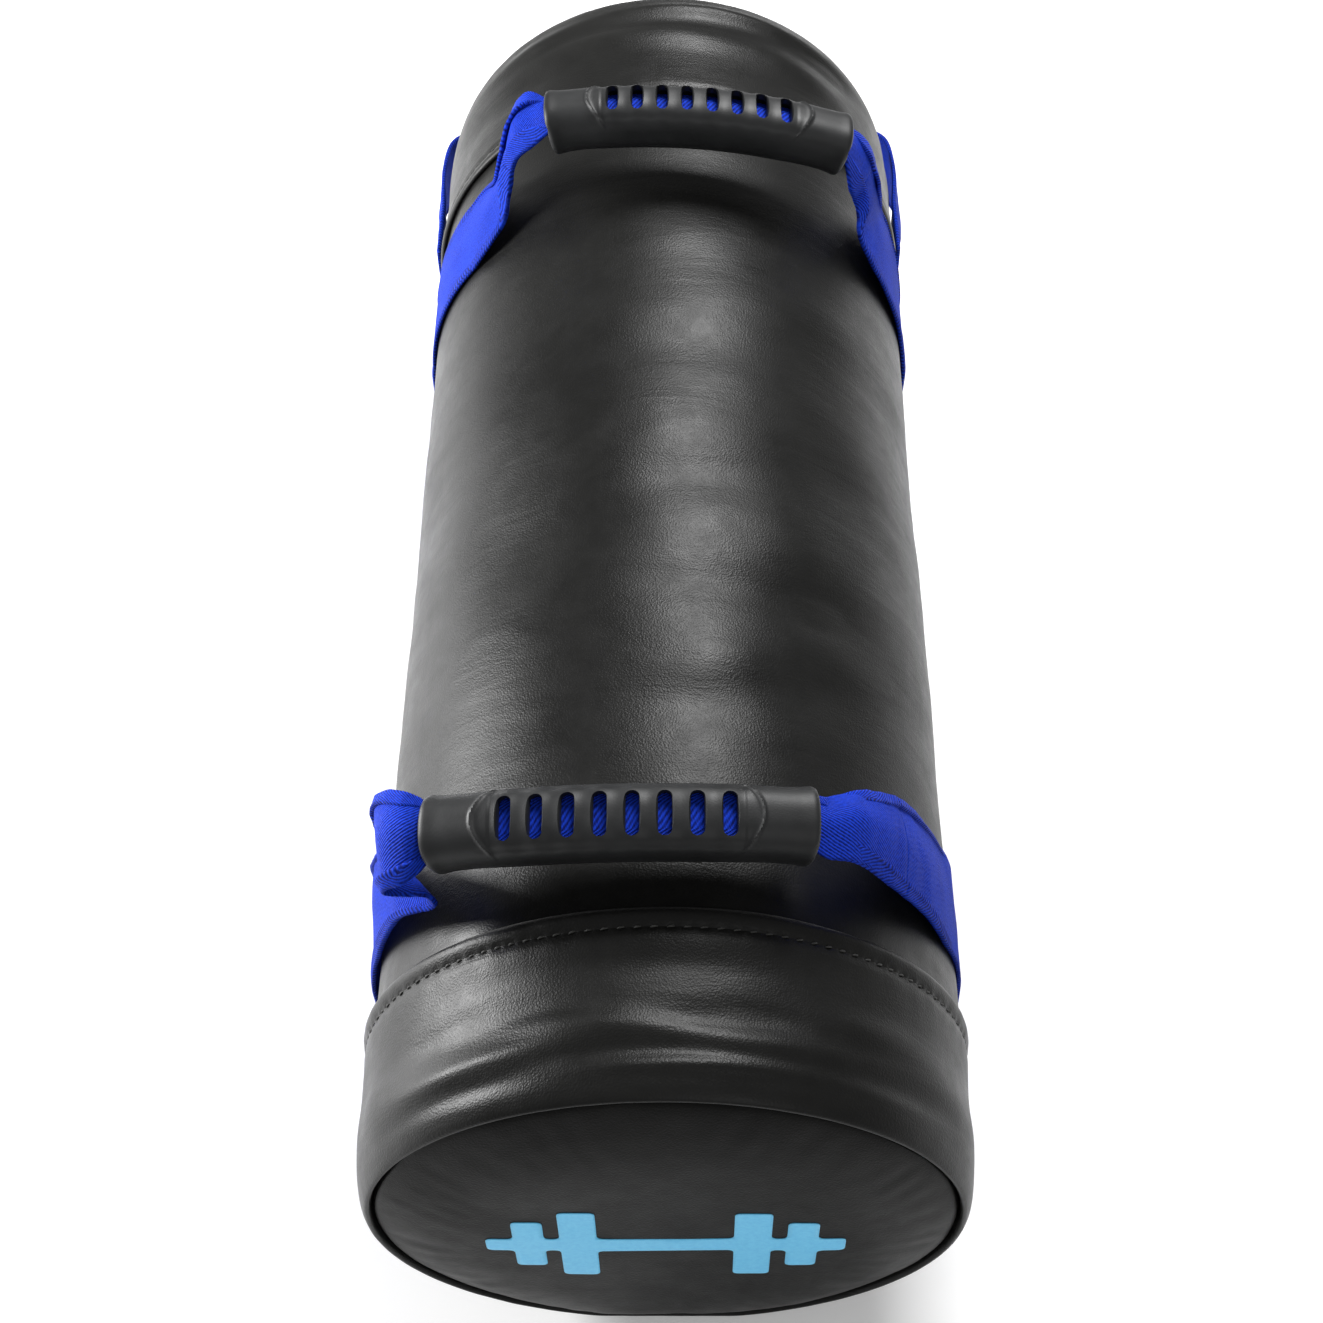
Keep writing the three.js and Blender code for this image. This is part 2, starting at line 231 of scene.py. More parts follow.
BODY_DENTS = [
    (10, 236, -1.5, 15, 12, 0.12),
    (27, 214, 1.2, 10, 15, -0.2),
    (34, 186, -1.7, 12, 13, 0.1),
    (8, 188, -1.2, 18, 9, 0.05),
    (-10, 262, 1.1, 15, 13, 0.0),
    (30, 152, -1.4, 13, 14, 0.15),
    (14, 158, 1.0, 10, 9, -0.1),
    (0, 138, -0.9, 18, 10, 0.0),
    (-26, 215, -1.1, 15, 20, 0.15),
    (38, 250, -1.5, 13, 20, -0.2),
    (-40, 170, 0.9, 20, 20, 0.1),
    (4, 300, -1.1, 26, 12, 0.05),
    (30, 330, 1.0, 18, 14, 0.1),
    (-20, 340, -1.0, 20, 12, 0.0),
    (-60, 260, -1.2, 18, 26, 0.1),
    (62, 300, -1.2, 18, 26, -0.1),
    (66, 190, 1.0, 14, 24, 0.1),
]


def make_body(material):
    y = np.concatenate([np.linspace(14, 54, 14), np.linspace(56, 444, 190), np.linspace(446, 497, 14)])
    under = 1.1 * (np.clip((NEAR_STITCH - y) / 4, 0, 1) + np.clip((y - FAR_STITCH) / 4, 0, 1))
    profile = [(BODY_R - u, yy) for u, yy in zip(under, y)]

    def relief(th, r, yy):
        slow, ripple, fine = fabric_relief(th, yy, 3.1)
        shown = np.clip((yy - 60) / 8, 0, 1) * np.clip((441 - yy) / 8, 0, 1)
        to_hem = np.minimum(yy - NEAR_HEM, FAR_HEM - yy)
        pucker = 0.12 * np.exp(-np.clip(to_hem, 0, None) / 9) * np.sin(th * 46 + 5 * slow)
        side = np.clip((np.abs(np.degrees(np.arctan2(np.sin(th), np.cos(th)))) - 78) / 8, 0, 1)
        band = sum(np.exp(-(((yy - loop_y) / 21) ** 6)) for loop_y in (NEAR_LOOP_Y, FAR_LOOP_Y))
        pressed = 0.45 * side * band
        dents = bumps_at(th, yy, BODY_DENTS)
        d = 0.75 * slow + 0.30 * ripple + 0.05 * fine + pucker + dents - pressed - 0.25
        return shown * np.clip(d, -2.0, 0.6)

    obj = turned("body_skin", round_angles(260), profile, relief, material, SKIN_THICK)
    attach(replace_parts(obj, "body_sleeve"), "bag")
    return obj


# Outer line of a cap from its turned-under hem, over the padded fold and the stitch line, to the seam.
CAP_LINE = [
    (99.3, 50.0), (99.4, 56.5), (100.1, 60.4), (101.0, 61.4), (101.75, 61.3), (102.25, 60.5),
    (102.45, 59.4), (102.3, 58.0), (101.85, 56.6), (101.25, 55.5), (101.0, 55.0), (101.15, 54.4),
    (101.45, 53.3), (101.65, 51.0), (101.3, 45.0), (100.9, 36.0), (100.75, 27.0), (100.7, 18.0),
    (100.3, 11.5), (99.5, 6.6), (98.4, 3.2), (97.3, 1.3), (96.3, 0.9), (95.6, 1.5), (95.2, 3.2),
    (95.0, 8.5),
]
NEAR_CAP_DENTS = [
    (-38, 30, 1.3, 20, 6.0, 0.08),
    (-34, 18, -1.7, 22, 4.2, 0.05),
    (-30, 10, 0.9, 22, 3.2, 0.03),
    (-12, 25, -1.5, 14, 3.6, -0.12),
    (-4, 16.5, 1.2, 20, 3.4, 0.03),
    (6, 11, -1.3, 26, 2.8, 0.02),
    (14, 27, 1.2, 16, 4.2, 0.10),
    (20, 19, -1.4, 18, 3.6, 0.05),
    (36, 30, -1.3, 15, 5.0, 0.12),
    (46, 16, 1.0, 16, 5.0, 0.05),
    (-62, 24, -1.2, 14, 8.0, 0.15),
    (66, 22, -1.2, 14, 8.0, -0.15),
    (-6, 43, 0.7, 30, 4.5, 0.0),
    (120, 26, -1.0, 40, 7.0, 0.0),
    (-120, 26, -1.0, 40, 7.0, 0.0),
]
FAR_CAP_DENTS = [
    (-8, 30, -2.0, 24, 5.5, 0.06),
    (6, 20, 1.3, 26, 5.0, 0.0),
    (12, 11, -1.4, 26, 4.0, 0.0),
    (34, 34, -1.4, 14, 7.0, 0.12),
    (44, 20, 1.3, 12, 7.0, 0.0),
    (-42, 38, 1.2, 16, 7.0, 0.0),
    (-30, 16, -1.4, 18, 4.5, 0.04),
    (110, 30, -1.0, 40, 7.0, 0.0),
    (-120, 26, -1.0, 40, 7.0, 0.0),
]


def make_cap(name, node, widen, far, dents, seed, material):
    outer = spline(CAP_LINE, 5)
    wide = np.clip((outer[:, 1] - 27) / 9, 0, 1)
    outer[:, 1] += widen * wide
    profile = [tuple(p) for p in outer]

    def relief(th, r, y):
        slow, ripple, fine = fabric_relief(th, y, seed)
        wall = np.clip((y - 4) / 8, 0, 1) * np.clip((NEAR_STITCH + widen - 1 - y) / 4, 0, 1)
        hem = np.clip((y - NEAR_STITCH - widen) / 2, 0, 1)
        line = np.exp(-(((y - NEAR_STITCH - widen) / 1.0) ** 2))
        near_line = np.exp(-np.abs(y - NEAR_STITCH - widen) / 5)
        pucker = 0.07 * near_line * np.sin(th * 63 + 4 * slow) + 0.25 * near_line * ripple
        stitch = -0.34 * line * (0.5 + 0.5 * np.cos(th * STITCHES)) ** 2
        rim = 0.10 * np.exp(-(((y - 3) / 5) ** 2)) * np.sin(th * 38 + 6 * slow) * np.abs(ripple)
        d = 0.6 * slow * wall + 0.32 * ripple * wall + 0.06 * fine + pucker + stitch + rim
        d = d + wall * bumps_at(th, y, dents) + 0.18 * hem * ripple
        return np.where(r > 94, np.clip(d, -1.9, 0.9), 0)

    obj = turned(name, round_angles(6 * STITCHES), profile, relief, material, SKIN_THICK)
    obj.data.flip_normals()
    if far:
        flip_to_far(obj)
    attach(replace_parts(obj, node), "bag")
    return obj


def flip_to_far(obj):
    """Turns a near-end piece into its far-end twin: y is counted from the far seam instead."""
    co = np.empty(len(obj.data.vertices) * 3)
    obj.data.vertices.foreach_get("co", co)
    co = co.reshape(-1, 3)
    co[:, 1] = 2 * NEAR_Y + LENGTH / 1000 - co[:, 1]
    obj.data.vertices.foreach_set("co", co.ravel())
    obj.data.flip_normals()
    obj.data.update()


PANEL_LINE = [
    (0.0, -6.2), (20.0, -6.15), (40.0, -6.05), (56.0, -5.85), (68.0, -5.1), (78.0, -3.5),
    (85.5, -1.4), (90.5, 0.4), (93.3, 1.9), (94.4, 3.6), (94.6, 8.0),
]
PANEL_FLANGE_R = 94
NEAR_PANEL_SEED = 11.0


def panel_relief(th, r, seed):
    x, z = r * np.sin(th), r * np.cos(th)
    slow = lumps(x / 42, z / 42, 0 * x, seed)
    ripple = lumps(x / 17, z / 17, 0 * x + 3, seed)
    rim = np.clip((r - 62) / 24, 0, 1) * np.clip((93 - r) / 5, 0, 1)
    gather = 0.07 * rim * np.sin(th * 41 + 7 * slow) * (1 + 3 * ripple)
    return 0.6 * slow * np.clip(r / 20, 0, 1) + 0.14 * ripple + gather


def make_panel(name, node, far, seed, material):
    line = spline(PANEL_LINE, 6)
    line[0, 0] = 0.4

    def relief(th, r, y):
        return -panel_relief(th, r, seed) * np.where(r > PANEL_FLANGE_R, 0, 1)

    obj = turned(name, round_angles(252), [tuple(p) for p in line], relief, material)
    bm = bmesh.new()
    bm.from_mesh(obj.data)
    bmesh.ops.holes_fill(bm, edges=[e for e in bm.edges if e.is_boundary and e.calc_length() < 2e-4])
    bmesh.ops.recalc_face_normals(bm, faces=bm.faces)
    crown = Vector((0, NEAR_Y - PANEL_CROWN / 1000, AXIS_Z))
    centre = min(bm.faces, key=lambda f: (f.calc_center_median() - crown).length)
    if centre.normal.y > 0:
        bmesh.ops.reverse_faces(bm, faces=bm.faces)
    bm.to_mesh(obj.data)
    bm.free()
    thicken(obj, SKIN_THICK)
    if far:
        flip_to_far(obj)
    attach(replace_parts(obj, node), "bag")
    return obj


def stitch_ring(name, node, y, material):
    """Separate lock stitches that dip into the fabric at both ends."""
    verts, faces = [], []
    rng = np.random.default_rng(5)
    for k in range(STITCHES):
        at = (k + 0.5) / STITCHES * 2 * math.pi
        half = math.pi / STITCHES * 0.46
        slant = 0.22 + 0.06 * rng.standard_normal()
        rings = []
        for t in np.linspace(-1, 1, 7):
            lift = 100.98 + 0.36 * (1 - abs(t) ** 2.2)
            thick = 0.40 * (1 - 0.45 * t * t)
            for phi in np.arange(6) / 6 * 2 * math.pi:
                p = on_bag(
                    np.array(at + half * t),
                    np.array(y + slant * t + thick * math.cos(phi)),
                    np.array(lift + thick * math.sin(phi)),
                )
                rings.append(p)
        base = len(verts)
        verts += rings
        faces += [tuple(base + i for i in f) for f in grid_faces(7, 6, closed_cols=True)]
        faces += [tuple(base + i for i in range(6)), tuple(base + 41 - i for i in range(6))]
    obj = new_object(name, np.array(verts), faces, None, material)
    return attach(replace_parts(obj, node), "bag")


MARK = [(22, 5), (22, 27), (34, 27), (34, 5), (39, 5), (39, 19), (49, 19), (49, 5), (58, 5)]


def make_mark(material):
    """A plain barbell printed on the near panel, cut into small cells that follow the panel."""
    right = [Vector((x, h)) for x, h in MARK]
    top = [Vector((-p.x, p.y)) for p in reversed(right)] + right
    outline = top + [Vector((p.x, -p.y)) for p in reversed(top)]
    rounded = []
    for i, p in enumerate(outline):
        a, b = outline[i - 1] - p, outline[(i + 1) % len(outline)] - p
        reach = min(2.4, 0.45 * a.length, 0.45 * b.length)
        p0, p2 = p + a.normalized() * reach, p + b.normalized() * reach
        for t in np.linspace(0, 1, 6):
            rounded.append(p0 * (1 - t) ** 2 + p * 2 * t * (1 - t) + p2 * t * t)
    grid = [Vector((x, z)) for x in np.arange(-57, 58, 2.0) for z in np.arange(-26, 27, 2.0)]
    flat, _, faces, *_ = delaunay_2d_cdt(rounded + grid, [], [list(range(len(rounded)))], 1, 1e-4)
    xs, zs = np.array([p.x for p in flat]), np.array([p.y for p in flat])
    line = spline(PANEL_LINE, 6)
    r, th = np.hypot(xs, zs), np.arctan2(xs, zs)
    y = np.interp(r, line[:, 0], line[:, 1]) + panel_relief(th, r, NEAR_PANEL_SEED) - 0.12
    verts = np.stack([xs, y, zs], -1)
    obj = new_object("barbell_print", verts, faces, None, material)
    if sum(p.normal.y for p in obj.data.polygons) > 0:
        obj.data.flip_normals()
    thicken(obj, 0.22, 0)
    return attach(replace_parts(obj, "barbell_mark"), "bag")


# ---------------------------------------------------------------- webbing


# A loop's sides, from outside the grip down to the bag, as stations of near edge, middle and far edge.
NEAR_LEFT = [
    [(-77, 68, 107), (-78, 80, 116), (-79, 93, 115.5)],
    [(-83.5, 68, 103), (-85, 82, 111), (-86, 96.5, 110)],
    [(-85, 69, 97), (-88, 84, 102), (-89.5, 99, 102)],
    [(-79, 71, 93), (-86, 85, 93), (-90, 99.5, 91)],
    [(-73.5, 72, 91), (-84, 86, 86), (-89, 99, 82)],
    [(-71.5, 72, 87.5), (-83, 87, 81), (-89.5, 100, 76)],
    [(-72.8, 73, 81.5), (-86, 89, 75), (-91.5, 102, 69)],
    [(-84, 76.5, 69), (-91, 92, 62), (-95, 106, 57)],
    [(-92, 80, 48), (-97, 96, 45), (-98.5, 112, 42)],
    [(-98.5, 84, 21), (-100.5, 102, 22), (-101, 119, 22)],
    [(-101.5, 85, 4), (-102, 105, 4), (-102, 124, 4)],
    [(-101.7, 85, -10), (-101.7, 105, -10), (-101.7, 125, -10)],
]
NEAR_RIGHT = [
    [(50, 71, 113), (51, 81.5, 118), (51, 93, 112)],
    [(58, 73, 108), (60, 85, 113.5), (60, 98, 107)],
    [(67, 75, 96), (68, 88, 104), (67, 102, 100)],
    [(75, 77, 82), (76, 91, 90), (73, 106, 91)],
    [(81, 79, 70), (82, 94, 77), (79, 109.5, 79)],
    [(87, 80.5, 57), (87.5, 97, 63), (85, 113, 64)],
    [(93.5, 82, 38), (93, 99.5, 44), (91.5, 117, 45)],
    [(98, 83.5, 20), (98, 102, 25), (96.5, 120, 27)],
    [(101, 85, 5), (101.2, 104, 8), (100, 123, 10)],
    [(101.7, 85, -10), (101.7, 105, -10), (101.7, 125, -10)],
]
FAR_LEFT = [
    [(-51, 394, 115), (-52, 406, 119), (-54, 417, 121)],
    [(-58, 395, 108), (-60, 406, 112), (-61, 417, 112)],
    [(-61, 395, 101), (-64, 404, 100), (-65.5, 412, 95)],
    [(-62.5, 391, 93), (-67, 401, 90), (-69, 410, 84)],
    [(-65, 385, 84), (-71, 400, 80), (-74.5, 416, 73)],
    [(-71, 381, 76), (-78, 400, 68), (-82, 420, 59)],
    [(-79, 380, 63), (-86, 400, 54), (-91, 420, 43)],
    [(-88, 380, 45), (-94, 400, 38), (-97, 420, 26)],
    [(-96, 380, 22), (-99, 400, 16), (-101, 420, 9)],
    [(-101, 380, 4), (-101.5, 400, 2), (-101.7, 420, -2)],
    [(-101.7, 380, -10), (-101.7, 400, -10), (-101.7, 420, -12)],
]
FAR_RIGHT = [
    [(73, 388, 98), (77, 398, 104), (79, 409, 104)],
    [(75, 390, 90), (81, 400, 93), (84, 411, 91)],
    [(77, 388, 84), (83, 400, 82), (87, 412, 76)],
    [(78.5, 383, 76), (85, 400, 70), (89.5, 416, 60)],
    [(84, 380, 64), (90, 400, 56), (94, 420, 45)],
    [(91, 380, 48), (95, 400, 38), (98.5, 420, 28)],
    [(97.5, 380, 28), (99.5, 400, 18), (101.5, 420, 8)],
    [(101.5, 380, 4), (101.7, 400, 2), (101.7, 420, -2)],
    [(101.7, 380, -10), (101.7, 400, -10), (101.7, 420, -12)],
]
WEB = 40.0
WEB_THICK = 1.5
STATION_STEPS = 8
CLEAR_OF_BODY = 1.15
# Stations inside a grip's bore: distance in from its end, and half the folded width.
BORE_STATIONS = ((7, 7.2), (0.5, 7.9))


def strap_surface(net, clear, sense):
    """Webbing through the stations of a net. Width that doesn't show is folded under."""
    p = np.array(net, float)
    along = np.gradient(p, axis=0)
    across = p[:, 2] - p[:, 0]
    normal = np.cross(along[:, 1], across)
    normal *= sense / np.linalg.norm(normal, axis=1)[:, None]
    shown = np.linalg.norm(p[:, 1] - p[:, 0], axis=1) + np.linalg.norm(p[:, 2] - p[:, 1], axis=1)
    spare = np.clip((WEB - shown) / 2, 0.6, 8.0)[:, None]
    spare[:2] = 1.2
    unit = across / np.linalg.norm(across, axis=1)[:, None]
    drop = normal * np.clip(spare * 0.45, 0.5, 3.0)
    near = p[:, 0] + unit * spare * 0.75 - drop
    far = p[:, 2] - unit * spare * 0.75 - drop
    rails = np.stack([near, p[:, 0], p[:, 1], p[:, 2], far], 1)
    dense = np.stack([spline(rails[:, k], STATION_STEPS) for k in range(5)], 1)
    surface = np.stack([spline(row, 6) for row in dense])
    du, dv = np.gradient(surface, axis=1), np.gradient(surface, axis=0)
    out = np.cross(dv, du) * sense
    out /= np.linalg.norm(out, axis=2)[..., None] + 1e-9
    x, y, z = surface[..., 0], surface[..., 1], surface[..., 2]
    off_bag = np.clip((np.hypot(x, z) - 103) / 6, 0, 1)
    free = off_bag * np.clip((np.arange(len(x))[:, None] - 10) / 8, 0, 1)
    wave = 0.45 * lumps(x / 9, y / 9, z / 9, 4.0) + 0.25 * lumps(x / 4, y / 4, z / 4, 8.0)
    surface = surface + out * (wave * free)[..., None]
    if clear:
        radial = np.hypot(surface[..., 0], surface[..., 2])
        least = BODY_R + CLEAR_OF_BODY
        push = np.where(radial < least, least / radial, 1.0)
        surface[..., 0] *= push
        surface[..., 2] *= push
    return surface, -out


def strap_piece(name, surface, out, first, last, material):
    """The rows from first to last of a webbing surface, as a closed shell."""
    cols = surface.shape[1]
    mid = surface[:, cols // 2]
    v = np.concatenate([[0], np.cumsum(np.linalg.norm(np.diff(mid, axis=0), axis=1))])[first : last + 1]
    part, normal = surface[first : last + 1], out[first : last + 1]
    n = len(part)
    u = np.cumsum(np.linalg.norm(np.diff(part, axis=1, prepend=part[:, :1]), axis=2), axis=1)
    u = np.clip(u - u[:, cols // 2, None], -WEB / 2, WEB / 2)
    own = np.cumsum(np.linalg.norm(np.diff(surface, axis=0, prepend=surface[:1]), axis=2), axis=0)
    flat = np.stack([u, 0.5 * v[:, None] + 0.5 * own[first : last + 1]], -1).reshape(-1, 2)
    verts = np.concatenate(
        [(part + normal * WEB_THICK / 2).reshape(-1, 3), (part - normal * WEB_THICK / 2).reshape(-1, 3)]
    )
    top = grid_faces(n, cols)
    size = n * cols
    under = [tuple(size + i for i in reversed(f)) for f in top]
    ring = [i * cols for i in range(n)] + [(n - 1) * cols + j for j in range(1, cols)]
    ring += [i * cols + cols - 1 for i in range(n - 2, -1, -1)] + list(range(cols - 2, 0, -1))
    faces = top + under + [(b, a, size + a, size + b) for a, b in zip(ring, ring[1:] + ring[:1])]
    uvs = flat[np.array(faces).ravel() % size]
    obj = new_object(name, verts, faces, uvs, material)
    face_outwards(obj)
    return obj


def in_bore(plane, reach, at, yaw, half):
    """A station of webbing folded to fit a grip's bore, at a distance along the arch."""
    a = at / (ARCH_R + CORE_RISE)
    rows = []
    for w, lift in ((-half, -1.2), (0, 1.4), (half, -1.2)):
        rad = ARCH_R + CORE_RISE + lift
        x = rad * math.sin(a)
        height = reach - ARCH_R + rad * math.cos(a)
        side = w + x * math.tan(math.radians(yaw))
        rows.append(tuple(in_plane(plane, np.array(x), np.array(height), np.array(side))))
    return rows


def strap(which, side, net, split, nodes, clear=True):
    """One side of a loop, in two pieces: its top from the grip to the split station, the rest from there
    to the bag.
    """
    sense = -1 if side == "right" else 1
    surface, out = strap_surface(net, clear, sense)
    row, last = split * STATION_STEPS, len(surface) - 1
    upper_piece = strap_piece(f"{which}_{side}_strap_top", surface, out, 0, row, BLUE)
    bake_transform(upper_piece)
    lower_piece = strap_piece(f"{which}_{side}_strap", surface, out, row, last, BLUE)
    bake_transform(lower_piece)
    for piece in (upper_piece, lower_piece):
        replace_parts(piece, *nodes)


def band(name, y, from_deg, to_deg, radius, material):
    """Webbing wrapped flat round the bag."""
    th = np.radians(np.linspace(from_deg, to_deg, 150))[:, None]
    w = np.linspace(-WEB / 2, WEB / 2, 17)[None, :]
    sag = 0.25 * lumps(np.sin(th) * 4, w / 14, np.cos(th) * 4, 2.0)
    points = on_bag(th, y + w + 0 * th, radius + 0.12 * sag + 0 * w)
    rows, cols = points.shape[:2]
    u = np.linspace(-WEB / 2, WEB / 2, cols)
    v = np.radians(np.linspace(from_deg, to_deg, rows)) * radius
    uvs = grid_uvs(u, v, rows, cols)
    obj = new_object(name, points.reshape(-1, 3), grid_faces(rows, cols), uvs, material)
    return thicken(obj, WEB_THICK, 0)


def box_stitches(name, node, y, start_deg, material):
    """A sewn box with a cross in it, as single stitches on the girth."""
    half, arc = 15.5, 20.0
    corners = [(-half, 0), (half, 0), (half, arc), (-half, arc)]
    lines = [(corners[i], corners[(i + 1) % 4]) for i in range(4)]
    lines += [(corners[0], corners[2]), (corners[1], corners[3])]
    per_deg = math.radians(1) * 102
    verts, faces = [], []
    for (w0, a0), (w1, a1) in lines:
        length = math.hypot(w1 - w0, (a1 - a0) * per_deg)
        count = max(1, round(length / 3.0))
        for k in range(count):
            mid = (k + 0.5) / count
            part = 0.40 / count
            side = np.array([-(a1 - a0) * per_deg, w1 - w0]) / length
            base = len(verts)
            for t in np.linspace(-1, 1, 5):
                f = mid + part * t
                w, a = w0 + (w1 - w0) * f, a0 + (a1 - a0) * f
                thick = 0.34 * (1 - 0.5 * t * t)
                for phi in np.arange(6) / 6 * 2 * math.pi:
                    ww = w + side[0] * thick * math.cos(phi)
                    aa = a + side[1] * thick * math.cos(phi) / per_deg
                    rr = 101.95 + 0.22 * (1 - t * t) + thick * math.sin(phi)
                    angle = math.radians(start_deg + aa)
                    verts.append(on_bag(np.array(angle), np.array(y + ww), np.array(rr)))
            faces += [tuple(base + i for i in f) for f in grid_faces(5, 6, closed_cols=True)]
            faces += [tuple(base + i for i in range(6)), tuple(base + 29 - i for i in range(6))]
    obj = new_object(name, np.array(verts), faces, None, material)
    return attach(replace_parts(obj, node), "bag")


def plane_frame(hinge_y, hinge_z, tilt_deg):
    """The plane of a loop: its point on the hinge line, its direction away from it, and across it."""
    t = math.radians(tilt_deg)
    return (
        np.array([0, hinge_y, hinge_z]),
        np.array([0, -math.sin(t), math.cos(t)]),
        np.array([0, math.cos(t), math.sin(t)]),
    )


NEAR_PLANE = plane_frame(NEAR_LOOP_Y, 11, 13)
FAR_PLANE = plane_frame(FAR_LOOP_Y, 11, 0)
END_HINGE_Z = -12
END_PLANE = plane_frame(462.5, END_HINGE_Z, -90)


def in_plane(plane, x, h, w):
    base, out, side = plane
    x, h, w = np.broadcast_arrays(x, h, w)
    return base + x[..., None] * np.array([1.0, 0, 0]) + h[..., None] * out + w[..., None] * side


def core(name, plane, reach, first, last, material, rise=CORE_RISE, yaw=0):
    """The webbing inside a grip: folded lengthwise, twice as thick, following the arch."""
    s = np.linspace(first, last, 90)[:, None] / (ARCH_R + rise)
    phi = (np.arange(28) / 28 * 2 * math.pi)[None, :]
    c, n = np.cos(phi), np.sin(phi)
    w = 8.8 * np.sign(c) * np.abs(c) ** 0.55
    t = 2.2 * np.sign(n) * np.abs(n) ** 0.75
    rad = ARCH_R + rise + t
    x = rad * np.sin(s)
    points = in_plane(plane, x, reach - ARCH_R + rad * np.cos(s), w + x * math.tan(math.radians(yaw)))
    rows, cols = points.shape[:2]
    u, v = np.linspace(-20, 20, cols + 1), np.linspace(0, last - first, rows)
    faces = grid_faces(rows, cols, closed_cols=True)
    faces += [tuple(range(cols)), tuple(rows * cols - 1 - i for i in range(cols))]
    uvs = grid_uvs(u, v, rows, cols, closed_cols=True) + [(0, 0)] * (2 * cols)
    return new_object(name, points.reshape(-1, 3), faces, uvs, material)


# ---------------------------------------------------------------- grips


GRIP_LEN, GRIP_W, GRIP_H = 117.0, 23.0, 22.0
SLOTS, PITCH, SLOT_W, SLOT_L = 8, 9.3, 4.0, 14.0


def grip(name, node, body, plane, reach, shift, yaw, material):
    """Moulded sleeve with a row of slots, ribs between them, raised curved end lines and plain collars."""
    s = np.linspace(-GRIP_LEN / 2, GRIP_LEN / 2, 260)[:, None]
    phi = (np.arange(128) / 128 * 2 * math.pi)[None, :]
    c, n = np.cos(phi), np.sin(phi)
    power = 2 / 2.45
    w = GRIP_W / 2 * np.sign(c) * np.abs(c) ** power
    h = GRIP_H / 2 * np.sign(n) * np.abs(n) ** power
    end = np.clip((GRIP_LEN / 2 - np.abs(s)) / 2.2, 0, 1)
    lip = 1 - 0.09 * (1 - np.sqrt(1 - (1 - end) ** 2))
    collar = 0.035 * np.exp(-(((np.abs(s) - 57.0) / 2.6) ** 2))
    neck = 0.03 * np.exp(-(((np.abs(s) - 46) / 9) ** 2))
    swell = 1 + collar - neck
    top = np.clip((n - 0.15) / 0.5, 0, 1)
    face = 0.5 + 0.5 * np.tanh((37.5 + 3.4 * (1 - (w / 9.5) ** 2) - np.abs(s)) / 0.8)
    ridge_at = 38.0 + 4.2 * (1 - (w / 9.5) ** 2)
    ridge = 0.7 * np.exp(-(((np.abs(s) - ridge_at) / 0.5) ** 2)) * np.clip(top * 1.5, 0, 1)
    between = 0.5 - 0.5 * np.cos(2 * math.pi * (s / PITCH))
    ribs = np.where(np.abs(s) < 37.2, 0.55 * between - 0.25, 0) * top
    groove = -0.35 * np.exp(-(((np.abs(w) - 9.3) / 0.8) ** 2))
    long_rib = groove * np.clip((42 - np.abs(s)) / 3, 0, 1) * top
    scale = lip * swell
    h = h * scale + ridge + ribs * face + long_rib - 0.35 * face * top
    w = w * scale + 0 * h

    def place(along, radial, side):
        ang = along / ARCH_R + shift / ARCH_R
        x = radial * np.sin(ang)
        side = side + x * math.tan(math.radians(yaw))
        return in_plane(plane, x, reach - ARCH_R + radial * np.cos(ang), side)

    points = place(s + 0 * h, ARCH_R + h, w)
    rows, cols = points.shape[:2]
    faces = grid_faces(rows, cols, closed_cols=True)
    faces += [tuple(range(cols))[::-1], tuple(range((rows - 1) * cols, rows * cols))]
    obj = new_object(name, points.reshape(-1, 3), faces, None, material)
    face_outwards(obj)

    cutters = []
    inner = 4.6 / 2 + 1.0
    ang = np.arange(32) / 32 * 2 * math.pi
    bw = (18 / 2 + 0.9) * np.sign(np.cos(ang)) * np.abs(np.cos(ang)) ** 0.6
    bt = inner * np.sign(np.sin(ang)) * np.abs(np.sin(ang)) ** 0.7
    ss = np.linspace(-GRIP_LEN / 2 - 1.5, GRIP_LEN / 2 + 1.5, 48)[:, None]
    flare = 1 + 0.16 * np.clip((np.abs(ss) - 55.5) / 4, 0, 1)
    bore = place(ss + 0 * bt[None], ARCH_R + CORE_RISE + bt[None] * flare, bw[None] * flare)
    cutters.append((bore, 48, 32))
    for k in range(SLOTS):
        mid = (k - (SLOTS - 1) / 2) * PITCH
        around = np.arange(28) / 28 * 2 * math.pi
        half = (SLOT_L - SLOT_W) / 2
        sx = SLOT_W / 2 * np.cos(around)
        sy = SLOT_W / 2 * np.sin(around) + half * np.sign(np.sin(around))
        levels, grow = [4.0, 9.2, 10.0, 10.8, 12.6], [0, 0, 0.18, 0.7, 1.6]
        ring = [
            place(
                mid + sx * (1 + g * 2 / SLOT_W),
                ARCH_R + lev + 0 * sx,
                sy + g * np.sin(around),
            )
            for lev, g in zip(levels, grow)
        ]
        cutters.append((np.array(ring), len(levels), 28))
    for index, (pts, nr, nc) in enumerate(cutters):
        fs = grid_faces(nr, nc, closed_cols=True)
        fs += [tuple(range(nc))[::-1], tuple(range((nr - 1) * nc, nr * nc))]
        tool = new_object(f"{name}_cut{index}", pts.reshape(-1, 3), fs)
        face_outwards(tool)
        mod = obj.modifiers.new(f"cut{index}", "BOOLEAN")
        mod.operation = "DIFFERENCE"
        mod.solver = "EXACT"
        mod.object = tool
        apply_modifiers(obj)
        bpy.data.objects.remove(tool)
    obj.data.polygons.foreach_set("use_smooth", [True] * len(obj.data.polygons))
    obj.data.set_sharp_from_angle(angle=math.radians(38))
    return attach(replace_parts(obj, node), body)


# ---------------------------------------------------------------- materials


